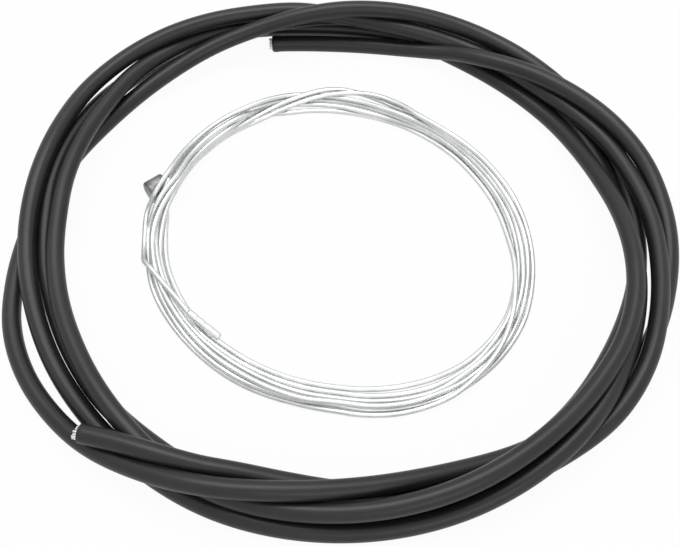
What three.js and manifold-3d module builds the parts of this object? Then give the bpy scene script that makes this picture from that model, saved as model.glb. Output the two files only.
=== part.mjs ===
// Bicycle brake cable, lying as it comes: a coil of black outer housing, and the coiled steel inner cable inside it.
// Millimetres, +Z up. The origin is at the middle of the housing coil, on the surface that both coils lie on.
import * as THREE from "three";
import { mergeVertices } from "three/addons/utils/BufferGeometryUtils.js";
import Module from "manifold-3d";

// Layers of the cable, from the middle outwards
const WIRE_DIAMETER = 1.5;
const LINER_CLEARANCE = 0.1;
const LINER_WALL = 0.2;
const LAYER_GAP = 0.1;
const STRAND_DIAMETER = 0.65;
const SHEATH_WALL = 0.6;

// Coils, counted in strands of their own cord
const HOUSING_COIL_OUTER_RADIUS = 92;
const HOUSING_STRANDS_WIDE = 3;
const HOUSING_STRANDS_HIGH = 1.5;
const WIRE_COIL_OUTER_RADIUS = 53.2;
const WIRE_STRANDS_WIDE = 4;
const WIRE_STRANDS_HIGH = 2;
const WIRE_COIL_X = -0.7;
const WIRE_COIL_Y = -2.5;

// Cut ends of the housing
const STRAND_PROTRUSION = 1.1;
const LINER_PROTRUSION = 0.7;
const STUB_DEPTH = 3;

// Barrel nipple, cast on the head of the inner cable
const BARREL_DIAMETER = 7;
const BARREL_LENGTH = 6;
const BARREL_EDGE_RADIUS = 0.5;
const BARREL_BORE_DEPTH = 4.5;
const BARREL_YAW = -52.4;
const BARREL_ROLL = 25;

// End cap, crimped on the tail of the inner cable
const CAP_WALL = 0.25;
const CAP_LENGTH = 10.6;
const CAP_BORE_DEPTH = 8.5;
const CAP_TIP_RADIUS = 0.6;
const CRIMP_DEPTH = 0.12;
const CRIMP_WIDTH = 1.2;
const CRIMP_PLACES = [3, 5.6];

// Clearances
const SEAT_GAP = 0.3;
const BORE_CLEARANCE = 0.1;

// Facets
const HOUSING_SIDES = 12;
const WIRE_SIDES = 8;
const COIL_SEGMENTS = 48;
const CORNER_STEPS = 3;
const SMALL_ROUND_SEGMENTS = 32;
const BORE_SEGMENTS = 16;
const LOBE_STEPS = 4;
const LOBE_SPAN = 60;
const QUARTER_TURN = Math.PI / 2;

// Routes of the stretches that leave a coil: compass angle about its middle, distance in from its outer edge, height
// The housing's first end lies across the top of its coil and comes down on its inner side.
const OUTER_END_ROUTE = [
  [226.8, 0.9, 7.85],
  [230.6, 3.3, 8],
  [234.5, 5.9, 8.1],
  [238.3, 8.2, 8],
  [242.1, 10.2, 7.9],
  [246.8, 12.2, 7.7],
  [251.5, 14.1, 7.3],
  [257, 15.6, 6.2],
  [263, 16.5, 4.4],
  [268, 16.6, 3.2],
];

// Its second end lies on the surface, just inside the coil, and comes from the top of it.
const INNER_END_ROUTE = [
  [106.7, 17.9, 2.5],
  [100, 19.4, 2.5],
  [92, 20.2, 2.5],
  [84, 20.5, 2.5],
  [74, 20.6, 3.1],
  [64, 20.4, 5.6],
  [54, 18.1, 7.8],
  [44, 13.4, 8.4],
  [34, 8.4, 7.9],
];

// The inner cable's tail lies outside its coil, bends over it and comes down inside.
const TAIL_ROUTE = [
  [168.7, -1.5, 0.75],
  [171.6, -1.6, 0.75],
  [174.2, -1.4, 0.75],
  [177.4, -1.2, 0.75],
  [180.7, -1.1, 0.75],
  [184.3, -1.1, 1],
  [187.5, -1.2, 1.9],
  [190.4, -0.8, 3.4],
  [192.6, 0.4, 4.15],
  [196.4, 2.2, 4.15],
  [200.6, 3.8, 4.15],
  [205.9, 5.2, 4.2],
  [210.5, 5.9, 4.3],
];
const BARREL_PLACE = [163.6, -0.4, BARREL_DIAMETER / 2];
const CAP_MOUTH = [213.7, 6.2, 4.3];
const CAP_TIP = [226.5, 8.8, 1.2];

// Sizes that follow
const wireRadius = WIRE_DIAMETER / 2;
const linerBoreRadius = wireRadius + LINER_CLEARANCE;
const linerRadius = linerBoreRadius + LINER_WALL;
const strandRadius = STRAND_DIAMETER / 2;
const strandPitchRadius = linerRadius + LAYER_GAP + strandRadius;
const strandCount = Math.floor(Math.PI / Math.asin(strandRadius / strandPitchRadius));
const sheathBoreRadius = strandPitchRadius + strandRadius + LAYER_GAP;
const housingRadius = sheathBoreRadius + SHEATH_WALL;
const boreRadius = wireRadius + BORE_CLEARANCE;
const barrelRadius = BARREL_DIAMETER / 2;
const capRadius = boreRadius + CAP_WALL;

const SHEATH = new THREE.MeshStandardMaterial({ color: 0x2c2c2e, roughness: 0.62, metalness: 0 });
const STRAND_STEEL = new THREE.MeshStandardMaterial({ color: 0xc9ccd0, roughness: 0.3, metalness: 1 });
const LINER = new THREE.MeshStandardMaterial({ color: 0xd8d6cf, roughness: 0.5, metalness: 0 });
const WIRE_STEEL = new THREE.MeshStandardMaterial({ color: 0xd3d6d8, roughness: 0.35, metalness: 1 });
const CAST_ZINC = new THREE.MeshStandardMaterial({ color: 0x8c8b89, roughness: 0.5, metalness: 1 });
const ALUMINIUM = new THREE.MeshStandardMaterial({ color: 0xdcdedf, roughness: 0.35, metalness: 1 });

const manifoldLibrary = await Module();
manifoldLibrary.setup();

function toSolid(geometry) {
  const bare = geometry.clone();
  bare.deleteAttribute("normal");
  bare.deleteAttribute("uv");
  const merged = mergeVertices(bare);
  return new manifoldLibrary.Manifold(new manifoldLibrary.Mesh({
    numProp: 3,
    vertProperties: new Float32Array(merged.attributes.position.array),
    triVerts: new Uint32Array(merged.index.array),
  }));
}

function cut(geometry, tool) {
  const mesh = toSolid(geometry).subtract(toSolid(tool)).getMesh();
  const result = new THREE.BufferGeometry();
  result.setAttribute("position", new THREE.BufferAttribute(mesh.vertProperties, mesh.numProp));
  result.setIndex(new THREE.BufferAttribute(mesh.triVerts, 1));
  return result;
}

function namedMesh(name, geometry, material) {
  const mesh = new THREE.Mesh(geometry, material);
  mesh.name = name;
  return mesh;
}

function polygonPoints(radius, sides) {
  const points = [];
  for (let i = 0; i < sides; i += 1) {
    const angle = (2 * Math.PI * i) / sides;
    points.push(new THREE.Vector2(radius * Math.cos(angle), radius * Math.sin(angle)));
  }
  return points;
}

function roundSection(radius, sides) {
  return new THREE.Shape(polygonPoints(radius, sides));
}

function pipeSection(outerRadius, innerRadius, sides) {
  const section = roundSection(outerRadius, sides);
  section.holes.push(new THREE.Path(polygonPoints(innerRadius, sides)));
  return section;
}

// One side of the ring of strands: side is 1 for its outside and -1 for its inside
function lobePoints(side) {
  const points = [];
  for (let i = 0; i < strandCount; i += 1) {
    const place = (2 * Math.PI * i) / strandCount;
    for (let step = 0; step <= LOBE_STEPS; step += 1) {
      const swing = THREE.MathUtils.degToRad(LOBE_SPAN) * ((2 * step) / LOBE_STEPS - 1);
      const radial = strandPitchRadius + side * strandRadius * Math.cos(swing);
      const sideways = strandRadius * Math.sin(swing);
      points.push(new THREE.Vector2(
        radial * Math.cos(place) - sideways * Math.sin(place),
        radial * Math.sin(place) + sideways * Math.cos(place),
      ));
    }
  }
  return points;
}

function strandSection() {
  const section = new THREE.Shape(lobePoints(1));
  section.holes.push(new THREE.Path(lobePoints(-1)));
  return section;
}

// A place beside a coil, from the compass angle, the distance in from the coil's outer edge and the height
function byCoil([angle, inward, height], outerRadius) {
  const turned = THREE.MathUtils.degToRad(angle);
  const radius = outerRadius - inward;
  return new THREE.Vector3(radius * Math.cos(turned), radius * Math.sin(turned), height);
}

function byHousing(place) {
  return byCoil(place, HOUSING_COIL_OUTER_RADIUS);
}

function byWire(place) {
  return byCoil(place, WIRE_COIL_OUTER_RADIUS);
}

function extrudeAlong(section, path, steps) {
  return new THREE.ExtrudeGeometry(section, { steps, bevelEnabled: false, extrudePath: path });
}

function curveThrough(points) {
  return new THREE.CatmullRomCurve3(points, false, "centripetal");
}

function stepsAlong(path, diameter) {
  return Math.ceil(path.getLength() / (2 * diameter));
}

// A ring with a rounded section that stands on its base
function coilRing(outerRadius, strandsWide, strandsHigh, cordDiameter) {
  const innerRadius = outerRadius - strandsWide * cordDiameter;
  const height = strandsHigh * cordDiameter;
  const corner = cordDiameter / 2;
  const corners = [
    [outerRadius - corner, corner, -QUARTER_TURN],
    [outerRadius - corner, height - corner, 0],
    [innerRadius + corner, height - corner, QUARTER_TURN],
    [innerRadius + corner, corner, 2 * QUARTER_TURN],
  ];
  const profile = [];
  for (const [x, y, start] of corners) {
    for (let step = 0; step <= CORNER_STEPS; step += 1) {
      const angle = start + (QUARTER_TURN * step) / CORNER_STEPS;
      profile.push(new THREE.Vector2(x + corner * Math.cos(angle), y + corner * Math.sin(angle)));
    }
  }
  profile.push(profile[0].clone());
  const ring = new THREE.LatheGeometry(profile, COIL_SEGMENTS);
  ring.rotateX(QUARTER_TURN);
  return ring;
}

// A cut end of the housing: the sheath along its route, and the strands and liner that stand out of its face
function housingEnd(name, path) {
  const end = new THREE.Group();
  const steps = stepsAlong(path, 2 * housingRadius);
  const sheath = extrudeAlong(pipeSection(housingRadius, sheathBoreRadius, HOUSING_SIDES), path, steps);
  end.add(namedMesh(`${name}_sheath`, sheath, SHEATH));
  const [face, next] = path.getSpacedPoints(steps);
  const outward = face.clone().sub(next).normalize();
  const stub = (section, protrusion) => {
    const inside = face.clone().addScaledVector(outward, -STUB_DEPTH);
    const outside = face.clone().addScaledVector(outward, protrusion);
    return extrudeAlong(section, new THREE.LineCurve3(inside, outside), 1);
  };
  end.add(namedMesh(`${name}_strands`, stub(strandSection(), STRAND_PROTRUSION), STRAND_STEEL));
  const linerSection = pipeSection(linerRadius, linerBoreRadius, HOUSING_SIDES);
  end.add(namedMesh(`${name}_liner`, stub(linerSection, LINER_PROTRUSION), LINER));
  return end;
}

// The room that a stretch of housing takes in its coil, with a little more past both of its ends
function roomAlong(path) {
  const points = path.getSpacedPoints(stepsAlong(path, 2 * housingRadius));
  const past = STRAND_PROTRUSION + SEAT_GAP;
  const first = points[0].clone().sub(points[1]).setLength(past).add(points[0]);
  const last = points.at(-1).clone().sub(points.at(-2)).setLength(past).add(points.at(-1));
  const longer = curveThrough([first, ...points, last]);
  return extrudeAlong(roundSection(housingRadius + SEAT_GAP, HOUSING_SIDES), longer, points.length + 1);
}

function housing() {
  const group = new THREE.Group();
  const outerPath = curveThrough(OUTER_END_ROUTE.map(byHousing));
  const innerPath = curveThrough(INNER_END_ROUTE.map(byHousing));
  const ring = coilRing(HOUSING_COIL_OUTER_RADIUS, HOUSING_STRANDS_WIDE, HOUSING_STRANDS_HIGH, 2 * housingRadius);
  const coil = cut(cut(ring, roomAlong(outerPath)), roomAlong(innerPath));
  group.add(namedMesh("housing_coil", coil, SHEATH));
  group.add(housingEnd("outer_end", outerPath));
  group.add(housingEnd("inner_end", innerPath));
  return group;
}

// The barrel lies on its side: its axis is local Y, and the wire leaves it along local X
function barrelNipple() {
  const edge = BARREL_EDGE_RADIUS;
  const half = BARREL_LENGTH / 2;
  const profile = [
    new THREE.Vector2(0, -half),
    new THREE.Vector2(barrelRadius - edge, -half),
    new THREE.Vector2(barrelRadius, -half + edge),
    new THREE.Vector2(barrelRadius, half - edge),
    new THREE.Vector2(barrelRadius - edge, half),
    new THREE.Vector2(0, half),
  ];
  const barrel = new THREE.LatheGeometry(profile, SMALL_ROUND_SEGMENTS);
  const bore = new THREE.CylinderGeometry(boreRadius, boreRadius, 2 * BARREL_BORE_DEPTH, BORE_SEGMENTS);
  bore.rotateZ(QUARTER_TURN);
  bore.translate(barrelRadius, 0, 0);
  return cut(barrel, bore);
}

function cableHead() {
  const inside = new THREE.Vector3(barrelRadius - BARREL_BORE_DEPTH + SEAT_GAP, 0, 0);
  const outside = new THREE.Vector3(barrelRadius, 0, 0);
  return extrudeAlong(roundSection(wireRadius, WIRE_SIDES), new THREE.LineCurve3(inside, outside), 1);
}

// The coil leaves room for the barrel that lies in its outer edge
function cableCoil() {
  const ring = coilRing(WIRE_COIL_OUTER_RADIUS, WIRE_STRANDS_WIDE, WIRE_STRANDS_HIGH, WIRE_DIAMETER);
  const room = barrelRadius + SEAT_GAP;
  const pocket = new THREE.CylinderGeometry(room, room, BARREL_LENGTH + 2 * SEAT_GAP, SMALL_ROUND_SEGMENTS);
  pocket.rotateZ(THREE.MathUtils.degToRad(BARREL_YAW));
  pocket.translate(...byWire(BARREL_PLACE).toArray());
  return cut(ring, pocket);
}

// The cap's mouth is at its local origin, and its length runs along local Y
function endCap() {
  const profile = [new THREE.Vector2(0, CAP_BORE_DEPTH), new THREE.Vector2(boreRadius, CAP_BORE_DEPTH)];
  profile.push(new THREE.Vector2(boreRadius, 0));
  profile.push(new THREE.Vector2(capRadius, 0));
  for (const place of CRIMP_PLACES) {
    const half = CRIMP_WIDTH / 2;
    profile.push(new THREE.Vector2(capRadius, place - half));
    profile.push(new THREE.Vector2(capRadius - CRIMP_DEPTH, place - half / 2));
    profile.push(new THREE.Vector2(capRadius - CRIMP_DEPTH, place + half / 2));
    profile.push(new THREE.Vector2(capRadius, place + half));
  }
  profile.push(new THREE.Vector2(capRadius, CAP_LENGTH - CAP_TIP_RADIUS));
  profile.push(new THREE.Vector2(capRadius - CAP_TIP_RADIUS, CAP_LENGTH));
  profile.push(new THREE.Vector2(0, CAP_LENGTH));
  return new THREE.LatheGeometry(profile, BORE_SEGMENTS);
}

// Everything of the inner cable is placed about the middle of its coil
function innerCable() {
  const group = new THREE.Group();
  group.position.set(WIRE_COIL_X, WIRE_COIL_Y, 0);
  group.add(namedMesh("cable_coil", cableCoil(), WIRE_STEEL));

  const head = new THREE.Group();
  head.add(namedMesh("barrel_nipple", barrelNipple(), CAST_ZINC));
  head.add(namedMesh("cable_head", cableHead(), WIRE_STEEL));
  head.position.copy(byWire(BARREL_PLACE));
  head.rotation.set(0, THREE.MathUtils.degToRad(BARREL_ROLL), THREE.MathUtils.degToRad(BARREL_YAW), "ZYX");
  group.add(head);

  const mouth = byWire(CAP_MOUTH);
  const capDirection = byWire(CAP_TIP).sub(mouth).normalize();
  const cap = namedMesh("end_cap", endCap(), ALUMINIUM);
  cap.position.copy(mouth);
  cap.quaternion.setFromUnitVectors(new THREE.Vector3(0, 1, 0), capDirection);
  group.add(cap);

  const tail = curveThrough([...TAIL_ROUTE.map(byWire), mouth]);
  const tube = extrudeAlong(roundSection(wireRadius, WIRE_SIDES), tail, stepsAlong(tail, WIRE_DIAMETER));
  group.add(namedMesh("cable_tail", tube, WIRE_STEEL));
  return group;
}

const brakeCable = new THREE.Group();
brakeCable.add(housing());
brakeCable.add(innerCable());

export default brakeCable;
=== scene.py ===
"""Bicycle brake cable: a coil of black outer housing, and the coiled steel inner cable that lies inside it."""
import math

import bpy
import numpy as np
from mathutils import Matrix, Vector


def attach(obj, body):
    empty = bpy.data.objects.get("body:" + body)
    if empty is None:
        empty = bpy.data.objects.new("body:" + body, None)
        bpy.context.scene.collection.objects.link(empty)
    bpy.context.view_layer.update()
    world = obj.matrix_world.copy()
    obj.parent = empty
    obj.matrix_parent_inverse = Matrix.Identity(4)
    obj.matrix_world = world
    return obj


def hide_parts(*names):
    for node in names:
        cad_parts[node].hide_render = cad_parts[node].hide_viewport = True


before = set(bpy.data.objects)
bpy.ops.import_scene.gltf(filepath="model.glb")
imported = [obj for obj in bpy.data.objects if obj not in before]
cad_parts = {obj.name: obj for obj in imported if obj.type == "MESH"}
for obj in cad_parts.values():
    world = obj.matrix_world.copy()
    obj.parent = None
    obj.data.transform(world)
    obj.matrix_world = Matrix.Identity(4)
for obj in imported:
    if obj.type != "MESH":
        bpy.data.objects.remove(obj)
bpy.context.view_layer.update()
SCENE = bpy.context.scene
METRES = 0.001

# Where the camera stands, and the point on the surface that it looks at, in millimetres
CAMERA_PLACE = np.array([0.0, -156.25, 228.13])
CAMERA_AIM = np.array([0.0, -13.7, 0.0])
CAMERA_LENS = 51.8

# How the turns of a coil are laid on each other: how far a cord sinks in each round, in diameters, the share of its
# shift from where it is seen that it gives up, how readily it gives way sideways, how far apart cords are kept, in
# diameters, and how often the starting heights are evened out
SETTLING = 0.008
PULL_TO_SEEN = 0.25
GIVES_WAY = 0.7
KEPT_APART = 1.01
START_EVENED = 12

# The share of the rounds in which cords are only lifted off each other, and the pushes in each round. After that
# share a cord counts as on the wrong side of another where it is this little above it, as a share of their distance,
# and this near beside it, in diameters
LIFTING_SHARE = 0.25
PUSHES = 6
WRONG_ABOVE = 0.2
WRONG_BESIDE = 0.75

# How far a held stretch reaches past its route's ends, in degrees, and past how many degrees its hold halves
ROUTE_MARGINS = (0.01, 0.3)
HOLD_HALVES = 2.5
END_MARGIN = 0.2
FULL_TURN = 360

# How many times more points a line gets before it is divided evenly
REFINED_BY = 12

HOUSING_DIAMETER = 5.0
HOUSING_CENTRE = (0.0, 0.0)
WIRE_DIAMETER = 1.5
WIRE_CENTRE = (-0.7, -2.5)

# The stretches that leave the coils: compass angle, distance in from the coil's outer edge, height of the middle.
# They run as the part's own routes do, but a little nearer to the photograph. Each is held fast in the angles of
# FIRM, and the last two come after so many full turns
HOUSING_COIL_RADIUS = 92.0
OUTER_END_ROUTE = [
    (226.1, 2.3, 9.4), (229.5, 5.0, 9.9), (233.5, 7.4, 10.4), (238.7, 9.7, 10.4), (242.5, 11.1, 9.9),
    (246.3, 12.4, 9.0), (251.5, 14.0, 7.8), (257.0, 15.3, 6.2), (263.0, 16.3, 4.4), (268.0, 16.6, 3.2),
]
OUTER_END_FIRM = (226.1, 244.0)
INNER_END_ROUTE = [
    (34.0, 8.4, 7.9), (44.0, 13.4, 8.4), (54.0, 18.1, 7.8), (64.0, 20.4, 5.6), (74.0, 20.9, 3.1),
    (84.0, 21.3, 2.5), (92.0, 21.0, 2.5), (100.0, 19.7, 2.5), (106.7, 17.9, 2.5),
]
INNER_END_FIRM = (66.0, 107.0)
INNER_END_TURNS = 5
WIRE_COIL_RADIUS = 53.2
TAIL_ROUTE = [
    (168.7, -1.5, 0.75), (171.6, -1.6, 0.75), (174.2, -1.3, 0.75), (177.4, -1.0, 0.75), (180.7, -0.8, 0.75),
    (184.3, -0.7, 1.0), (187.5, -0.6, 1.9), (190.4, -0.2, 3.4), (192.6, 0.8, 4.15), (196.4, 2.4, 4.15),
    (200.6, 3.8, 4.15), (205.9, 5.2, 4.2), (210.5, 5.9, 4.3), (213.7, 6.2, 4.3),
]
TAIL_FIRM = (181.0, 214.0)
TAIL_TURNS = 6
CAP_TIP = (226.5, 8.8, 1.2)

# The barrel nipple lies in the wire coil's outer edge: its middle, the way its wire leaves it, and its size
BARREL_PLACE = (163.6, -0.4, 3.5)
BARREL_YAW = -52.4
BARREL_ROLL = 25.0
BARREL_RADIUS = 3.5
BARREL_LENGTH = 6.0
BARREL_BORE_DEPTH = 4.5
BORE_END_GAP = 0.3

# The wire by the barrel: how far in and down it has gone one step out of the bore, the room that the turns over the
# barrel keep at its ends, and the degrees after which they may lie over it
LEAVES_BARREL = (1.05, 0.75)
BARREL_ROOM = 0.4
OVER_BARREL_AFTER = 90

# How the housing's turns lie: along its whole length, the angle and how far from the middle it seems to lie,
# and from each angle of the coil on, its turns from the lowest to the highest
HOUSING_SEEN_HEIGHT = 4.0
HOUSING_SEEN = [
    (224, 90.1), (228, 86.5), (232, 83.7), (238, 80.9), (245, 78.5), (252, 76.9), (260, 76.4), (268, 77.0),
    (280, 79.4), (290, 82.0), (300, 84.6), (310, 86.6), (320, 88.7), (330, 89.2), (340, 88.6), (350, 87.9),
    (360, 87.2), (370, 85.8),
    (380, 84.2), (390, 81.6), (400, 79.4), (415, 78.4), (430, 78.8), (440, 79.8), (450, 81.9), (460, 85.1),
    (470, 87.2), (480, 89.5), (490, 91.1), (500, 91.8), (510, 91.6), (520, 90.2), (530, 88.6), (540, 87.1),
    (550, 85.9), (560, 85.1), (570, 84.8), (580, 84.7), (599, 85.5), (610, 86.2), (630, 86.7), (650, 86.6),
    (660, 86.2), (670, 85.8), (680, 85.2), (690, 84.1), (700, 82.9), (709, 81.6), (720, 79.4), (730, 77.9),
    (740, 78.2), (750, 78.2), (760, 77.9), (770, 77.7), (780, 78.0), (800, 79.8), (815, 81.0), (830, 81.8),
    (840, 84.5), (850, 85.5), (860, 85.4), (870, 83.6), (880, 82.4), (890, 81.0), (900, 79.3), (910, 78.6),
    (920, 78.4), (930, 78.4), (940, 78.9), (949, 79.6), (960, 81.0), (972, 82.0), (990, 82.0), (1010, 81.5),
    (1025, 81.0), (1040, 81.4), (1050, 82.1), (1060, 81.9), (1070, 80.6), (1080, 78.7), (1090, 76.5),
    (1100, 74.9), (1110, 73.8), (1120, 72.9), (1130, 72.5), (1140, 72.8), (1153, 74.7), (1160, 75.2),
    (1170, 76.0), (1178, 77.2), (1186, 79.3), (1190, 80.4), (1200, 82.1), (1210, 83.1), (1221, 84.3),
    (1230, 85.1), (1240, 85.0), (1250, 84.0), (1260, 82.1), (1270, 81.0), (1280, 80.2), (1290, 80.2),
    (1302, 80.7), (1312, 80.9), (1325, 81.7), (1340, 81.9), (1360, 81.4), (1375, 80.9), (1392, 81.1),
    (1410, 80.7), (1420, 81.1), (1426, 81.5), (1440, 81.9), (1450, 82.3), (1458, 82.8), (1470, 83.8),
    (1481, 84.2), (1490, 84.8), (1500, 85.4), (1510, 85.6), (1520, 85.3), (1530, 84.4), (1540, 82.7),
    (1550, 80.6), (1560, 79.3), (1575, 77.8), (1590, 78.6), (1603, 81.4), (1614, 84.2), (1624, 87.0),
    (1632, 89.4), (1640, 91.6), (1650, 92.3), (1658, 91.5), (1665, 90.2), (1678, 85.7), (1690, 81.5),
    (1700, 78.6), (1710, 77.1), (1720, 77.0), (1730, 78.1), (1743, 81.0), (1751, 83.0), (1762, 85.9),
    (1770, 87.7), (1778, 89.0), (1786, 89.8), (1800, 90.9), (1805, 90.9), (1810, 90.8), (1820, 89.0),
    (1830, 86.0), (1840, 82.5), (1850, 78.6), (1860, 74.3), (1870, 71.3), (1880, 69.8), (1890, 69.6),
    (1900, 71.2), (1907, 72.7),
]
HOUSING_ORDER = [
    (224, "31240"), (246, "31204"), (253, "31024"), (262, "01324"), (270, "01342"), (285, "04132"),
    (303, "40312"), (350, "43012"), (370, "13204"), (410, "21304"), (424, "24103"), (466.5, "2103"),
    (492, "3201"),
]

# How a coil is worked out: degrees between points, how far a cord may lie from where it is seen, in millimetres, how
# widely a push outwards, a push upwards, a shift and a rise are spread, and how many rounds it takes
HOUSING_LAYING = (2.5, 1.8, (30, 12, 10, 4), 1500)
WIRE_LAYING = (2.0, 0.8, (8, 6, 2, 1), 900)

# The wire's turns, each from its own start, read the same way about the wire coil's middle
WIRE_SEEN_HEIGHT = 1.5
WIRE_SEEN = [
    [(166, 50.6), (170, 49.3), (180, 48.2), (190, 47.8), (200, 47.2), (210, 46.6), (220, 46.0), (230, 45.4),
     (240, 45.3), (250, 45.5), (260, 45.8), (270, 46.4), (280, 47.6), (290, 48.9), (300, 50.3), (310, 51.5),
     (320, 52.1), (330, 52.0), (340, 51.0), (350, 49.9), (360, 48.7), (370, 47.9), (380, 47.0), (390, 46.2),
     (400, 46.0), (410, 46.0), (420, 46.0), (430, 46.1), (440, 46.6), (450, 48.1), (460, 49.6), (465, 50.5),
     (470, 51.5), (475, 52.3), (480, 52.8), (490, 52.9), (500, 52.7), (510, 52.1), (520, 51.4)],
    [(170, 52.6), (180, 52.9), (190, 52.8), (200, 52.6), (210, 52.0), (220, 51.6), (230, 51.5), (240, 51.6),
     (250, 51.6), (260, 51.7), (265, 52.0), (270, 52.6), (275, 53.7), (280, 54.6), (290, 56.0), (300, 56.7),
     (310, 56.0), (320, 54.9), (330, 53.0), (340, 50.9), (350, 49.3), (360, 47.6), (370, 46.6), (380, 45.8),
     (390, 45.2), (400, 44.9), (410, 44.8), (420, 44.7), (430, 44.8), (440, 45.2), (450, 46.1), (460, 47.1),
     (470, 48.3), (475, 49.6), (480, 51.6), (485, 51.4), (490, 50.9), (500, 50.7), (510, 50.5), (520, 50.2)],
    [(180, 51.7), (190, 51.1), (200, 50.2), (210, 49.6), (220, 49.3), (230, 49.2), (240, 49.1), (250, 49.5),
     (260, 50.1), (270, 50.4), (280, 52.3), (290, 53.8), (300, 54.7), (310, 55.0), (320, 55.2), (330, 54.9),
     (340, 54.0), (350, 52.9), (360, 51.9), (370, 50.9), (380, 50.1), (390, 49.6), (400, 49.2), (410, 49.3),
     (420, 50.3), (430, 50.9), (436, 52.2), (442, 53.6), (448, 54.8), (454, 54.9), (460, 54.0), (465, 53.0),
     (470, 52.0), (475, 51.1), (480, 50.4), (490, 50.1), (500, 50.1), (510, 50.0), (520, 49.8)],
    [(180, 49.8), (190, 49.1), (200, 48.3), (210, 47.6), (220, 47.1), (230, 46.6), (240, 46.4), (250, 46.6),
     (260, 47.1), (270, 47.9), (280, 49.5), (290, 51.0), (300, 52.5), (310, 53.2), (320, 53.1), (330, 52.5),
     (340, 51.6), (350, 50.5), (360, 49.6), (370, 48.7), (380, 47.9), (390, 47.2), (400, 46.9), (410, 47.1),
     (420, 47.3), (430, 47.7), (440, 48.6), (450, 50.0), (460, 51.5), (465, 52.5), (470, 53.1), (480, 53.4),
     (490, 53.8), (500, 54.0), (510, 53.6), (520, 53.0)],
    [(170, 52.3), (180, 51.6), (190, 51.7), (200, 51.3), (210, 50.9), (220, 50.7), (230, 50.6), (240, 50.6),
     (250, 50.5), (260, 50.8), (270, 51.6), (280, 53.5), (290, 54.9), (300, 55.7), (310, 56.2), (320, 56.3),
     (330, 56.0), (340, 55.3), (350, 54.4), (360, 53.4), (370, 52.4), (380, 51.4), (390, 50.8), (400, 50.3),
     (410, 50.1), (420, 50.9), (426, 52.2), (430, 52.8), (435, 53.6), (440, 53.9), (445, 53.7), (453, 52.9),
     (459, 51.8), (468, 50.1), (475, 49.1), (480, 48.9), (490, 49.2), (500, 49.4), (510, 49.6), (520, 49.4)],
    [(180, 50.8), (190, 50.1), (200, 49.3), (210, 48.6), (220, 48.1), (230, 47.7), (240, 47.6), (250, 47.9),
     (260, 48.6), (270, 49.3), (280, 51.0), (290, 52.6), (300, 53.9), (310, 54.2), (320, 54.1), (330, 53.7),
     (340, 52.6), (350, 51.6), (360, 50.7), (370, 50.0), (380, 49.0), (390, 48.4), (400, 48.2), (410, 48.4),
     (420, 48.6), (430, 49.0), (440, 50.2), (450, 51.6), (455, 52.5), (460, 53.5), (465, 54.4), (470, 54.9),
     (480, 55.1), (490, 55.2), (500, 55.0), (510, 54.6), (520, 54.0)],
    [(170, 54.4), (214, 46.6)],
]
WIRE_ORDER = [
    (164, "0534216"), (178, "1403526"), (262, "4035216"), (300, "0352416"), (410, "1035246"), (480, "4231056"),
]
WIRE_ORDER_MARGIN = 0.5


def smooth(x, xs, ys):
    """The heights of a smooth curve through the points xs, ys."""
    xs = np.asarray(xs, float)
    ys = np.asarray(ys, float)
    gap = np.diff(xs)
    rise = np.diff(ys) / gap
    slope = np.empty(len(xs))
    slope[1:-1] = (rise[:-1] * gap[1:] + rise[1:] * gap[:-1]) / (gap[1:] + gap[:-1])
    slope[0] = rise[0]
    slope[-1] = rise[-1]
    i = np.clip(np.searchsorted(xs, x) - 1, 0, len(xs) - 2)
    t = (x - xs[i]) / gap[i]
    start = (2 * t**3 - 3 * t**2 + 1) * ys[i] + (t**3 - 2 * t**2 + t) * gap[i] * slope[i]
    end = (-2 * t**3 + 3 * t**2) * ys[i + 1] + (t**3 - t**2) * gap[i] * slope[i + 1]
    return start + end


def lean(angle, radius, centre, height):
    """How far out a piece of cord seems to move for each millimetre that it is raised."""
    turned = np.radians(angle)
    x = centre[0] + radius * np.cos(turned) - CAMERA_PLACE[0]
    y = centre[1] + radius * np.sin(turned) - CAMERA_PLACE[1]
    return (x * np.cos(turned) + y * np.sin(turned)) / (CAMERA_PLACE[2] - height)


def soften(values, times):
    """Even out a row of numbers, with its ends kept."""
    for _ in range(times):
        values = values.copy()
        values[1:-1] = 0.25 * values[:-2] + 0.5 * values[1:-1] + 0.25 * values[2:]
    return values


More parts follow.
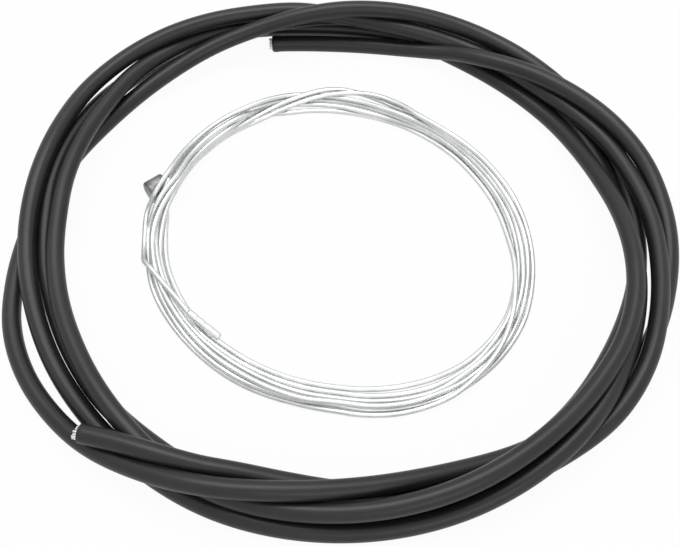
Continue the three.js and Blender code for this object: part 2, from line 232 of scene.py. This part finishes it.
def lay_down(angle, seen, rank, diameter, centre, seen_height, held, lowest, laying):
    """Lay the turns of a coil on each other: each cord settles under its weight, a diameter from the others,
    within reach of where it is seen and above or below the others as it is seen. Returns radii and heights."""
    step, reach, stiff, rounds = laying
    count = len(angle)
    turn = int(round(FULL_TURN / step))
    apart = KEPT_APART * diameter
    height = soften(diameter / 2 + apart * rank, START_EVENED)
    radius = seen - (height - seen_height) * lean(angle, seen, centre, seen_height)
    pairs = [(np.arange(count - turn * m), np.arange(turn * m, count)) for m in range(1, (count - 1) // turn + 1)]
    for i in range(rounds):
        loose = i > LIFTING_SHARE * rounds
        height -= SETTLING * diameter
        target = seen - (height - seen_height) * lean(angle, radius, centre, seen_height)
        radius += PULL_TO_SEEN * (target - radius)
        height = soften(height, stiff[3])
        radius = target + soften(np.clip(radius - target, -reach, reach), stiff[2])
        for _ in range(PUSHES):
            tilt = np.arctan(np.gradient(radius, np.radians(step)) / radius)
            push_out = np.zeros(count)
            push_up = np.zeros(count)
            for low, high in pairs:
                side = (radius[high] - radius[low]) * np.cos(tilt[low] - tilt[high])
                above = height[high] - height[low]
                upper = np.where(rank[high] > rank[low], 1.0, -1.0)
                if loose:
                    away = np.maximum(np.hypot(side, above), 1e-6)
                    over = np.maximum(0.0, apart - away)
                    out = side / away
                    up = above / away
                    wrong = (over > 0) & (up * upper < WRONG_ABOVE) & (np.abs(side) < WRONG_BESIDE * apart)
                    out = np.where(wrong, 0.0, out)
                    up = np.where(wrong, upper, up)
                else:
                    need = np.sqrt(np.maximum(apart**2 - side**2, 0.0))
                    over = np.where(np.abs(side) < apart, np.maximum(0.0, need - above * upper), 0.0)
                    out = 0.0
                    up = upper
                push_out[low] -= 0.5 * over * out
                push_out[high] += 0.5 * over * out
                push_up[low] -= 0.5 * over * up
                push_up[high] += 0.5 * over * up
            radius += GIVES_WAY * soften(push_out, stiff[0])
            height += soften(push_up, stiff[1])
            height[:] = np.maximum(height, lowest(angle, radius))
            for place, held_radius, held_height, grip in held:
                radius[place] += grip * (held_radius - radius[place])
                height[place] += grip * (held_height - height[place])
    return radius, height


def ranks(angle, start, order):
    """Each point's place in the pile, from the lowest turn up."""
    turn = ((angle - start) // FULL_TURN).astype(int)
    base = angle - FULL_TURN * turn
    result = np.zeros(len(angle))
    for i in range(len(angle)):
        stack = [letters for begins, letters in order if begins <= base[i] + 1e-6][-1]
        result[i] = stack.find(str(turn[i]))
    return result


def held_along(angle, route, turns, coil_radius, firm):
    """The points of a coil that follow a route: their numbers, radii, heights, and how firmly each is held.
    They are held fast between the two angles of firm and ever less past them."""
    along = np.array(route)
    along[:, 0] += FULL_TURN * turns
    before, after = ROUTE_MARGINS
    place = np.nonzero((angle >= along[0, 0] - before) & (angle <= along[-1, 0] + after))[0]
    radius = coil_radius - smooth(angle[place], along[:, 0], along[:, 1])
    base = angle[place] - FULL_TURN * turns
    past = np.maximum(0.0, np.maximum(firm[0] - base, base - firm[1]))
    return place, radius, smooth(angle[place], along[:, 0], along[:, 2]), 0.5 ** (past / HOLD_HALVES)


def lay_housing():
    """The angle, radius and height of each point of the housing, from its end on top to its end inside."""
    end = INNER_END_ROUTE[-1][0] + INNER_END_TURNS * FULL_TURN + END_MARGIN
    angle = np.arange(OUTER_END_ROUTE[0][0], end, HOUSING_LAYING[0])
    xs, ys = zip(*HOUSING_SEEN)
    seen = smooth(angle, xs, ys)
    rank = ranks(angle, HOUSING_ORDER[0][0], HOUSING_ORDER)
    held = [
        held_along(angle, OUTER_END_ROUTE, 0, HOUSING_COIL_RADIUS, OUTER_END_FIRM),
        held_along(angle, INNER_END_ROUTE, INNER_END_TURNS, HOUSING_COIL_RADIUS, INNER_END_FIRM),
    ]

    def lowest(angle, radius):
        """The height of a cord on the floor."""
        return np.full(len(angle), HOUSING_DIAMETER / 2)

    radius, height = lay_down(
        angle, seen, rank, HOUSING_DIAMETER, HOUSING_CENTRE, HOUSING_SEEN_HEIGHT, held, lowest, HOUSING_LAYING)
    return angle, radius, height


def by_wire(angle, inward, height):
    """A point given from the wire coil's outer edge."""
    turned = math.radians(angle)
    radius = WIRE_COIL_RADIUS - inward
    return np.array([WIRE_CENTRE[0] + radius * math.cos(turned), WIRE_CENTRE[1] + radius * math.sin(turned), height])


def barrel_frame():
    """The barrel's middle, the way its wire leaves it and the way its axis runs."""
    yaw = math.radians(BARREL_YAW)
    roll = math.radians(BARREL_ROLL)
    leaves = np.array([math.cos(yaw) * math.cos(roll), math.sin(yaw) * math.cos(roll), -math.sin(roll)])
    return by_wire(*BARREL_PLACE), leaves, np.array([-math.sin(yaw), math.cos(yaw), 0.0])


def lay_wire():
    """The angle, radius and height of each point of the wire, from its barrel to its cap."""
    middle, leaves, axis = barrel_frame()
    mouth = middle + BARREL_RADIUS * leaves
    first = math.degrees(math.atan2(mouth[1] - WIRE_CENTRE[1], mouth[0] - WIRE_CENTRE[0])) % FULL_TURN
    angle = np.arange(first, TAIL_ROUTE[-1][0] + TAIL_TURNS * FULL_TURN + END_MARGIN, WIRE_LAYING[0])
    xs = [a + FULL_TURN * turn for turn, places in enumerate(WIRE_SEEN) for a, _ in places]
    ys = [radius for places in WIRE_SEEN for _, radius in places]
    seen = smooth(angle, xs, ys)
    rank = ranks(angle, first - WIRE_ORDER_MARGIN, WIRE_ORDER)
    start = math.hypot(mouth[0] - WIRE_CENTRE[0], mouth[1] - WIRE_CENTRE[1])
    inward, down = LEAVES_BARREL
    held = [
        (np.array([0, 1]), np.array([start, start - inward]), np.array([mouth[2], mouth[2] - down]), 1.0),
        held_along(angle, TAIL_ROUTE, TAIL_TURNS, WIRE_COIL_RADIUS, TAIL_FIRM),
    ]

    def lowest(angle, radius):
        """The height of a wire on the floor or over the barrel."""
        turned = np.radians(angle)
        x = WIRE_CENTRE[0] + radius * np.cos(turned) - middle[0]
        y = WIRE_CENTRE[1] + radius * np.sin(turned) - middle[1]
        along = x * axis[0] + y * axis[1]
        across = x * axis[1] - y * axis[0]
        clear = BARREL_RADIUS + WIRE_DIAMETER / 2
        over = middle[2] + np.sqrt(np.maximum(clear**2 - across**2, 0.0))
        near = (np.abs(along) < BARREL_LENGTH / 2 + BARREL_ROOM) & (np.abs(across) < clear)
        return np.where(near & (angle > first + OVER_BARREL_AFTER), over, WIRE_DIAMETER / 2)

    radius, height = lay_down(
        angle, seen, rank, WIRE_DIAMETER, WIRE_CENTRE, WIRE_SEEN_HEIGHT, held, lowest, WIRE_LAYING)
    return angle, radius, height


def on_compass(angle, radius, height, centre):
    """Points given by compass angle and radius about a centre."""
    turned = np.radians(angle)
    return np.stack([centre[0] + radius * np.cos(turned), centre[1] + radius * np.sin(turned), height], 1)


def refine(points, spacing):
    """The same line, smooth and with evenly spaced points, and its length."""
    number = np.arange(len(points))
    fine = np.linspace(0, len(points) - 1, REFINED_BY * len(points))
    line = np.stack([smooth(fine, number, points[:, i]) for i in range(3)], 1)
    run = np.concatenate([[0.0], np.cumsum(np.linalg.norm(np.diff(line, axis=0), axis=1))])
    places = np.linspace(0, run[-1], max(2, int(round(run[-1] / spacing)) + 1))
    return np.stack([np.interp(places, run, line[:, i]) for i in range(3)], 1), run[-1]


def frames_along(points):
    """At each point the line's direction and two directions across it that don't twist."""
    along = np.gradient(points, axis=0)
    along /= np.linalg.norm(along, axis=1)[:, None]
    first = np.cross(along[0], (0.0, 0.0, 1.0))
    across = [first / np.linalg.norm(first)]
    for direction in along[1:]:
        side = across[-1] - direction * np.dot(across[-1], direction)
        across.append(side / np.linalg.norm(side))
    across = np.array(across)
    return along, across, np.cross(along, across)


def sweep(name, line, rings, sides, lobes=None, lay=None):
    """A closed skin along a line: each ring is (place along the line, radius), in millimetres. lobes is (groove depth,
    count) for wires laid round it, and lay the length in which they go round once."""
    along, across, up = frames_along(line)
    run = np.concatenate([[0.0], np.cumsum(np.linalg.norm(np.diff(line, axis=0), axis=1))])
    place = np.array([ring[0] for ring in rings])
    radius = np.array([ring[1] for ring in rings])
    middle = np.stack([np.interp(place, run, line[:, i]) for i in range(3)], 1)
    first = np.stack([np.interp(place, run, across[:, i]) for i in range(3)], 1)
    second = np.stack([np.interp(place, run, up[:, i]) for i in range(3)], 1)
    turned = 2 * math.pi * np.arange(sides) / sides
    spread = np.repeat(radius[:, None], sides, axis=1)
    if lobes:
        spread = spread - lobes[0] * (np.cos(lobes[1] * turned)[None, :] < 0) * (radius[:, None] > lobes[0])
    twist = 2 * math.pi * place / lay if lay else np.zeros(len(place))
    angle = turned[None, :] + twist[:, None]
    skin = (middle[:, None, :] + (spread * np.cos(angle))[:, :, None] * first[:, None, :]
            + (spread * np.sin(angle))[:, :, None] * second[:, None, :])
    vertices = (skin.reshape(-1, 3) * METRES).tolist()
    faces = []
    for ring in range(len(rings) - 1):
        for side in range(sides):
            a = ring * sides + side
            b = ring * sides + (side + 1) % sides
            faces.append((a, b, b + sides, a + sides))
    faces.append(tuple(range(sides - 1, -1, -1)))
    faces.append(tuple(range((len(rings) - 1) * sides, len(rings) * sides)))
    mesh = bpy.data.meshes.new(name)
    mesh.from_pydata(vertices, [], faces)
    # How far round and how far along each corner of a face lies, for marks that follow the cord
    far = place * METRES
    values = np.zeros((len(mesh.loops), 2))
    corner = 0
    for ring in range(len(rings) - 1):
        for side in range(sides):
            here, there = side / sides, (side + 1) / sides
            values[corner:corner + 4, 0] = (here, there, there, here)
            values[corner:corner + 4, 1] = (far[ring], far[ring], far[ring + 1], far[ring + 1])
            corner += 4
    layer = mesh.uv_layers.new(name="along")
    layer.data.foreach_set("uv", values.ravel())
    mesh.polygons.foreach_set("use_smooth", [True] * len(mesh.polygons))
    mesh.update()
    piece = bpy.data.objects.new(name, mesh)
    SCENE.collection.objects.link(piece)
    return piece


def dress(piece, slot, material, *nodes):
    """Give a piece its finish, its body, and the CAD nodes that it stands for."""
    piece.data.materials.append(material)
    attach(piece, "root")
    if nodes:
        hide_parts(*nodes)
    return piece


# Materials
SHEATH_COLOUR = (0.012, 0.012, 0.0122)
SHEATH_RUBBED = (0.02, 0.02, 0.0203)
WIRE_COLOUR = (0.77, 0.78, 0.78)
WIRE_DULL = (0.6, 0.615, 0.62)
STRAND_COLOUR = (0.72, 0.73, 0.74)
LINER_COLOUR = (0.62, 0.61, 0.58)
ZINC_COLOUR = (0.3, 0.3, 0.295)
ZINC_DARK = (0.13, 0.13, 0.128)
CAP_COLOUR = (0.74, 0.75, 0.755)


class Finish:
    """A material of nodes round one Principled shader."""

    def __init__(self, name, colour, roughness, metallic=0.0, specular=0.5):
        self.material = bpy.data.materials.new(name)
        self.material.use_nodes = True
        self.nodes = self.material.node_tree.nodes
        self.links = self.material.node_tree.links
        self.shader = self.nodes["Principled BSDF"]
        self.shader.inputs["Base Color"].default_value = (*colour, 1.0)
        self.shader.inputs["Roughness"].default_value = roughness
        self.shader.inputs["Metallic"].default_value = metallic
        self.shader.inputs["Specular IOR Level"].default_value = specular
        self.normal = None

    def node(self, kind, **settings):
        made = self.nodes.new(kind)
        for key, value in settings.items():
            setattr(made, key, value)
        return made

    def place(self, source, scale):
        """Coordinates in the object or along a cord, stretched by scale."""
        where = self.node("ShaderNodeTexCoord")
        stretch = self.node("ShaderNodeMapping")
        stretch.inputs["Scale"].default_value = scale
        self.links.new(where.outputs[source], stretch.inputs["Vector"])
        return stretch.outputs["Vector"]

    def noise(self, where, scale, detail=3.0, roughness=0.5):
        """Noise of so many waves a unit of where, from 0 to 1."""
        made = self.node("ShaderNodeTexNoise")
        made.inputs["Scale"].default_value = scale
        made.inputs["Detail"].default_value = detail
        made.inputs["Roughness"].default_value = roughness
        self.links.new(where, made.inputs["Vector"])
        return made.outputs["Fac"]

    def grain(self, scale, detail=3.0, roughness=0.5, stretch=(1.0, 1.0, 1.0)):
        """Noise of so many waves a metre of the object."""
        return self.noise(self.place("Object", stretch), scale, detail, roughness)

    def ramp(self, value, start, end, low, high):
        """The value taken from start..end to low..high."""
        made = self.node("ShaderNodeMapRange")
        made.inputs["From Min"].default_value = start
        made.inputs["From Max"].default_value = end
        made.inputs["To Min"].default_value = low
        made.inputs["To Max"].default_value = high
        self.links.new(value, made.inputs["Value"])
        return made.outputs["Result"]

    def tint(self, factor, first, second):
        """Colour the surface from the first colour to the second."""
        made = self.node("ShaderNodeMix", data_type="RGBA")
        made.inputs["A"].default_value = (*first, 1.0)
        made.inputs["B"].default_value = (*second, 1.0)
        self.links.new(factor, made.inputs["Factor"])
        self.links.new(made.outputs["Result"], self.shader.inputs["Base Color"])

    def rough(self, value):
        self.links.new(value, self.shader.inputs["Roughness"])

    def bump(self, value, distance, strength=1.0):
        """Raise the surface by the value, on top of any bump before it."""
        made = self.node("ShaderNodeBump")
        made.inputs["Distance"].default_value = distance
        made.inputs["Strength"].default_value = strength
        self.links.new(value, made.inputs["Height"])
        if self.normal:
            self.links.new(self.normal, made.inputs["Normal"])
        self.normal = made.outputs["Normal"]
        self.links.new(self.normal, self.shader.inputs["Normal"])


def sheath_finish():
    """Black extruded PVC: a satin skin with lengthwise drawing marks, a faint orange peel and rubbed places."""
    finish = Finish("sheath_pvc", SHEATH_COLOUR, 0.4, specular=0.38)
    streaks = finish.noise(finish.place("UV", (26.0, 5.0, 1.0)), 1.0, 4.0, 0.6)
    rubbed = finish.grain(55.0, 4.0, 0.6)
    peel = finish.grain(1500.0, 2.0)
    finish.tint(finish.ramp(rubbed, 0.35, 0.75, 0.0, 1.0), SHEATH_COLOUR, SHEATH_RUBBED)
    finish.rough(finish.ramp(streaks, 0.3, 0.7, 0.33, 0.46))
    finish.bump(peel, 0.00003, 0.5)
    finish.bump(streaks, 0.00004, 0.6)
    return finish.material


def wire_finish():
    """Bright galvanised wires laid round each other, with drawing marks along them and dull places."""
    finish = Finish("wire_galvanised", WIRE_COLOUR, 0.45, 1.0)
    dull = finish.grain(90.0, 4.0, 0.6)
    marks = finish.grain(4200.0, 2.0)
    finish.tint(finish.ramp(dull, 0.4, 0.7, 0.0, 1.0), WIRE_COLOUR, WIRE_DULL)
    finish.rough(finish.ramp(dull, 0.3, 0.7, 0.38, 0.55))
    finish.bump(marks, 0.00001, 0.5)
    return finish.material


def strand_finish():
    """Cut steel wires of the housing: bright, with shear marks across the cut ends."""
    finish = Finish("strand_steel", STRAND_COLOUR, 0.28, 1.0)
    marks = finish.grain(5200.0, stretch=(1.0, 0.3, 1.0))
    finish.rough(finish.ramp(marks, 0.3, 0.7, 0.2, 0.4))
    finish.bump(marks, 0.00003, 0.6)
    return finish.material


def liner_finish():
    """Pale slippery plastic, slightly waxy."""
    finish = Finish("liner_plastic", LINER_COLOUR, 0.4)
    finish.shader.inputs["Subsurface Weight"].default_value = 0.15
    finish.shader.inputs["Subsurface Scale"].default_value = 0.0004
    cloud = finish.grain(900.0)
    finish.rough(finish.ramp(cloud, 0.3, 0.7, 0.34, 0.46))
    finish.bump(cloud, 0.00002, 0.4)
    return finish.material


def nipple_finish():
    """Die-cast zinc, dull and grey, with a cast grain and darker spots."""
    finish = Finish("nipple_zinc", ZINC_COLOUR, 0.45, 1.0)
    cast = finish.grain(1800.0, 4.0, 0.65)
    stain = finish.grain(380.0)
    finish.tint(finish.ramp(stain, 0.4, 0.65, 0.0, 1.0), ZINC_COLOUR, ZINC_DARK)
    finish.rough(finish.ramp(cast, 0.3, 0.7, 0.36, 0.56))
    finish.bump(cast, 0.00004, 0.7)
    return finish.material


def cap_finish():
    """Drawn aluminium, bright, with fine marks along it."""
    finish = Finish("cap_aluminium", CAP_COLOUR, 0.3, 1.0)
    marks = finish.grain(2600.0)
    finish.rough(finish.ramp(marks, 0.3, 0.7, 0.32, 0.46))
    finish.bump(marks, 0.00001, 0.4)
    return finish.material


SHEATH = sheath_finish()
WIRE = wire_finish()
STRAND = strand_finish()
LINER = liner_finish()
ZINC = nipple_finish()
ALUMINIUM = cap_finish()

# The camera, as the photograph was taken
camera = bpy.data.objects.new("camera", bpy.data.cameras.new("camera"))
SCENE.collection.objects.link(camera)
camera.location = Vector(CAMERA_PLACE) * METRES
camera.rotation_euler = (Vector(CAMERA_AIM) - Vector(CAMERA_PLACE)).to_track_quat("-Z", "Y").to_euler()
camera.data.sensor_fit = "HORIZONTAL"
camera.data.sensor_width = 36.0
camera.data.lens = CAMERA_LENS
camera.data.clip_start = 0.01
SCENE.camera = camera

# The housing, from its end on top of the coil to its end inside it: the sheath's bore, the ring of steel strands
# inside it, the liner inside that, how deep the pieces at a cut face reach in, and how far the liner stands out
HOUSING_RADIUS = HOUSING_DIAMETER / 2
HOUSING_SPACING = 1.5
HOUSING_SIDES = 24
SHEATH_BORE = 1.9
STRAND_RADIUS = 0.3
STRAND_CIRCLE = 1.475
STRAND_COUNT = 14
STRAND_SIDES = 14
STRAND_SPACING = 0.25
LINER_RADIUS = 1.05
LINER_BORE = 0.85
LINER_OUT = 0.2
LINER_SIDES = 28
LINER_SPACING = 0.5
STUB_DEPTH = 3.0
MOUTH_DEPTH = 3.2

# The inner end reaches this far past the last laid point, and its swollen mouth is this long
INNER_END_ADDED = 1.1
SWOLLEN_LENGTH = 3.0

# The sheath's mouths, from inside the bore round the rim to the outside: place from the cut face, radius
SHEATH_INSIDE = [(MOUTH_DEPTH, SHEATH_BORE), (0.15, SHEATH_BORE), (0.0, SHEATH_BORE + 0.1)]
OUTER_MOUTH = SHEATH_INSIDE + [(0.0, HOUSING_RADIUS - 0.22), (0.06, HOUSING_RADIUS - 0.08), (0.22, HOUSING_RADIUS)]
INNER_MOUTH = SHEATH_INSIDE + [
    (0.0, HOUSING_RADIUS - 0.5), (0.12, HOUSING_RADIUS - 0.26), (0.35, HOUSING_RADIUS - 0.07),
    (0.7, HOUSING_RADIUS + 0.06), (1.2, HOUSING_RADIUS + 0.12), (2.6, HOUSING_RADIUS),
]

angle, radius, height = lay_housing()
housing_line = on_compass(angle, radius, height, HOUSING_CENTRE)
last_bit = INNER_END_ADDED / np.linalg.norm(housing_line[-1] - housing_line[-2])
housing_line = np.vstack([housing_line, housing_line[-1] + last_bit * (housing_line[-1] - housing_line[-2])])
housing_line, housing_length = refine(housing_line, HOUSING_SPACING)
between = np.arange(HOUSING_SPACING, housing_length - SWOLLEN_LENGTH, HOUSING_SPACING)
rings = OUTER_MOUTH + [(place, HOUSING_RADIUS) for place in between]
rings += [(housing_length - place, wide) for place, wide in reversed(INNER_MOUTH)]
housing = dress(sweep("housing_sheath", housing_line, rings, HOUSING_SIDES), "sheath", SHEATH,
                "housing_coil", "outer_end_sheath", "inner_end_sheath")

# How far the strands stand out of each cut face, by turns, how far their tips lean outwards, and how much less they
# stand out on the one side than at the middle, and more on the other
OUTER_CUT = ((1.05, 0.9, 1.15, 0.95, 1.1, 0.8, 1.05), 0.05, 0.45)
INNER_CUT = ((0.75, 0.85, 0.7, 0.9, 0.65), 0.0, 0.0)
# The share of its lean that a strand has halfway out
LEAN_HALFWAY = 0.3


def cut_end(name, face, inner, nodes, cut):
    """What stands out of a cut face of the housing: its ring of steel wires, each cut a little apart, and its liner.
    inner is a point of the housing's middle line behind the face."""
    lengths, splay, slant = cut
    outward = face - inner
    outward /= np.linalg.norm(outward)
    across = np.cross(outward, (0.0, 0.0, 1.0))
    across /= np.linalg.norm(across)
    up = np.cross(across, outward)
    wires = []
    for i in range(STRAND_COUNT):
        turned = 2 * math.pi * i / STRAND_COUNT
        away = math.cos(turned) * across + math.sin(turned) * up
        out = lengths[i % len(lengths)] - slant * math.cos(turned)
        line = np.array([
            face + STRAND_CIRCLE * away - STUB_DEPTH * outward,
            face + STRAND_CIRCLE * away,
            face + (STRAND_CIRCLE + LEAN_HALFWAY * splay) * away + 0.5 * out * outward,
            face + (STRAND_CIRCLE + splay) * away + out * outward,
        ])
        # The cut tip's edge is a little rounded
        line, length = refine(line, STRAND_SPACING)
        profile = [(0.0, STRAND_RADIUS), (0.5 * length, STRAND_RADIUS), (0.8 * length, STRAND_RADIUS),
                   (length - 0.08, STRAND_RADIUS), (length - 0.02, STRAND_RADIUS - 0.04), (length, STRAND_RADIUS - 0.1)]
        wires.append(sweep(f"{name}_wire_{i}", line, profile, STRAND_SIDES))
    bundle = wires[0]
    with bpy.context.temp_override(active_object=bundle, selected_editable_objects=wires):
        bpy.ops.object.join()
    bundle.name = f"{name}_wires"
    bundle.data.name = bundle.name
    dress(bundle, "strand_steel", STRAND, nodes[0])
    line, length = refine(np.array([face - STUB_DEPTH * outward, face + LINER_OUT * outward]), LINER_SPACING)
    profile = [(0.0, LINER_BORE), (length - 0.04, LINER_BORE), (length, LINER_BORE + 0.04),
               (length, LINER_RADIUS - 0.05), (length - 0.05, LINER_RADIUS), (0.0, LINER_RADIUS)]
    liner = dress(sweep(f"{name}_liner_tube", line, profile, LINER_SIDES), "liner", LINER, nodes[1])
    return [bundle, liner]


on_housing = cut_end(
    "outer_cut", housing_line[0], housing_line[2], ("outer_end_strands", "outer_end_liner"), OUTER_CUT)
on_housing += cut_end(
    "inner_cut", housing_line[-1], housing_line[-3], ("inner_end_strands", "inner_end_liner"), INNER_CUT)

# The inner cable, from the bore of its barrel to the mouth of its cap. Its outer wires show as ridges between
# grooves of this depth, so many round it, and go round it once in this length
WIRE_RADIUS = WIRE_DIAMETER / 2
WIRE_SPACING = 0.8
WIRE_SIDES = 24
WIRE_GROOVES = (0.045, 12)
WIRE_LAY = 11.0
LAST_SPACING = 0.5
angle, radius, height = lay_wire()
barrel_middle, wire_leaves, barrel_axis = barrel_frame()
bore_end = barrel_middle + (BARREL_RADIUS - BARREL_BORE_DEPTH + BORE_END_GAP) * wire_leaves
wire_line = on_compass(angle, radius, height, WIRE_CENTRE)
wire_line = np.concatenate([[bore_end, 0.5 * (bore_end + wire_line[0])], wire_line])
wire_line, wire_length = refine(wire_line, WIRE_SPACING)
wire_line[:, 2] = np.maximum(wire_line[:, 2], WIRE_RADIUS)
between = np.arange(WIRE_SPACING, wire_length - LAST_SPACING, WIRE_SPACING)
rings = [(0.0, WIRE_RADIUS)] + [(place, WIRE_RADIUS) for place in between] + [(wire_length, WIRE_RADIUS)]
wire = dress(sweep("cable_wire", wire_line, rings, WIRE_SIDES, WIRE_GROOVES, WIRE_LAY), "wire_steel", WIRE,
             "cable_coil", "cable_head", "cable_tail")

# The barrel, with the rounded ends that it is cast with: place from its end and radius, up to its middle
BARREL_SIDES = 64
BARREL_END = [(0.0, 0.4), (0.0, 2.7), (0.12, 3.1), (0.32, 3.35), (0.6, BARREL_RADIUS)]
profile = BARREL_END + [(BARREL_LENGTH / 2, BARREL_RADIUS)]
profile += [(BARREL_LENGTH - place, wide) for place, wide in reversed(BARREL_END)]
barrel_line = np.array([barrel_middle + side * barrel_axis * BARREL_LENGTH / 2 for side in (-1, 0, 1)])
barrel = dress(sweep("barrel_body", barrel_line, profile, BARREL_SIDES), "nipple_metal", ZINC, "barrel_nipple")

# The cap, closed at its rounded tip and crimped on the wire in two places. Its mouth is given from inside the bore
# round the rim to the outside, as place and radius, and its tip as distance from the tip and how much thinner it is
CAP_LENGTH = 10.6
CAP_RADIUS = 1.1
CAP_BORE = 0.8
CAP_BORE_DEPTH = 2.0
CAP_MOUTH_BORE = 0.97
CAP_SIDES = 36
CAP_SPACING = 0.5
CRIMPS = (3.0, 5.6)
CRIMP_REACH = 0.7
CRIMP_DEPTH = 0.14
CAP_MOUTH = [
    (CAP_BORE_DEPTH, CAP_BORE), (0.5, CAP_MOUTH_BORE), (0.04, CAP_MOUTH_BORE), (0.0, CAP_MOUTH_BORE + 0.04),
    (0.0, CAP_RADIUS - 0.04), (0.05, CAP_RADIUS),
]
CAP_END = [(0.5, 0.02), (0.22, 0.14), (0.06, 0.4), (0.0, 0.75)]
CAP_WALL_FROM = 0.4
CAP_WALL_TO = CAP_LENGTH - 0.65
CAP_WALL_STEP = 0.2
cap_way = by_wire(*CAP_TIP) - by_wire(*TAIL_ROUTE[-1])
cap_way /= np.linalg.norm(cap_way)
cap_line = np.array([wire_line[-1] + share * CAP_LENGTH * cap_way for share in (0.0, 0.5, 1.0)])
cap_line = refine(cap_line, CAP_SPACING)[0]
profile = list(CAP_MOUTH)
for place in np.arange(CAP_WALL_FROM, CAP_WALL_TO, CAP_WALL_STEP):
    squeezed = max(0.0, 1 - min(abs(place - crimp) for crimp in CRIMPS) / CRIMP_REACH)
    profile.append((place, CAP_RADIUS - CRIMP_DEPTH * math.sin(0.5 * math.pi * squeezed)))
profile += [(CAP_LENGTH - place, CAP_RADIUS - less) for place, less in CAP_END]
cap = dress(sweep("crimped_cap", cap_line, profile, CAP_SIDES), "cap_metal", ALUMINIUM, "end_cap")

# The floor, the lights and the pale surroundings. The camera sees the floor as paper that glows by this share, and
# the world as white, while the object is lit by the paper, a dimmer world and two lamps
FLOOR_HALF = 1.5
FLOOR_COLOUR = (0.86, 0.86, 0.86, 1.0)
FLOOR_GLOW = 0.95
WORLD_LIGHT = 0.5
WHITE = (1.0, 1.0, 1.0, 1.0)
mesh = bpy.data.meshes.new("floor")
corners = [(x * FLOOR_HALF, y * FLOOR_HALF, 0) for x, y in ((-1, -1), (1, -1), (1, 1), (-1, 1))]
mesh.from_pydata(corners, [], [(0, 1, 2, 3)])
floor = bpy.data.objects.new("floor", mesh)
SCENE.collection.objects.link(floor)


def seen_directly(nodes, links):
    """1 where the camera sees the surroundings, itself or in a mirror, and 0 where they only light the object."""
    path = nodes.new("ShaderNodeLightPath")
    total = path.outputs["Is Camera Ray"]
    for other in ("Is Glossy Ray", "Is Transmission Ray"):
        added = nodes.new("ShaderNodeMath")
        added.operation = "ADD"
        added.use_clamp = True
        links.new(total, added.inputs[0])
        links.new(path.outputs[other], added.inputs[1])
        total = added.outputs["Value"]
    return total


paper = bpy.data.materials.new("pale_floor")
paper.use_nodes = True
nodes = paper.node_tree.nodes
links = paper.node_tree.links
nodes.clear()
matt = nodes.new("ShaderNodeBsdfDiffuse")
matt.inputs["Color"].default_value = FLOOR_COLOUR
glow = nodes.new("ShaderNodeEmission")
glow.inputs["Color"].default_value = WHITE
share = nodes.new("ShaderNodeMath")
share.operation = "MULTIPLY"
share.inputs[1].default_value = FLOOR_GLOW
links.new(seen_directly(nodes, links), share.inputs[0])
both = nodes.new("ShaderNodeMixShader")
links.new(share.outputs["Value"], both.inputs["Fac"])
links.new(matt.outputs["BSDF"], both.inputs[1])
links.new(glow.outputs["Emission"], both.inputs[2])
output = nodes.new("ShaderNodeOutputMaterial")
links.new(both.outputs["Shader"], output.inputs["Surface"])
floor.data.materials.append(paper)

world = bpy.data.worlds.new("studio")
SCENE.world = world
world.use_nodes = True
nodes = world.node_tree.nodes
links = world.node_tree.links
background = nodes["Background"]
background.inputs["Color"].default_value = WHITE
level = nodes.new("ShaderNodeMapRange")
level.inputs["To Min"].default_value = WORLD_LIGHT
level.inputs["To Max"].default_value = 1.0
links.new(seen_directly(nodes, links), level.inputs["Value"])
links.new(level.outputs["Result"], background.inputs["Strength"])


def lamp(name, place, size, energy):
    """A soft box at a place in metres, turned to the object, with its watts."""
    light = bpy.data.lights.new(name, "AREA")
    light.shape = "RECTANGLE"
    light.size = size[0]
    light.size_y = size[1]
    light.energy = energy
    made = bpy.data.objects.new(name, light)
    made.location = place
    made.rotation_euler = (-Vector(place)).to_track_quat("-Z", "Y").to_euler()
    SCENE.collection.objects.link(made)


lamp("softbox_above", (-0.05, 0.2, 0.75), (0.7, 0.35), 3.4)
lamp("softbox_front", (0.25, -0.7, 0.5), (0.5, 0.3), 1.0)

SCENE.view_settings.view_transform = "Standard"
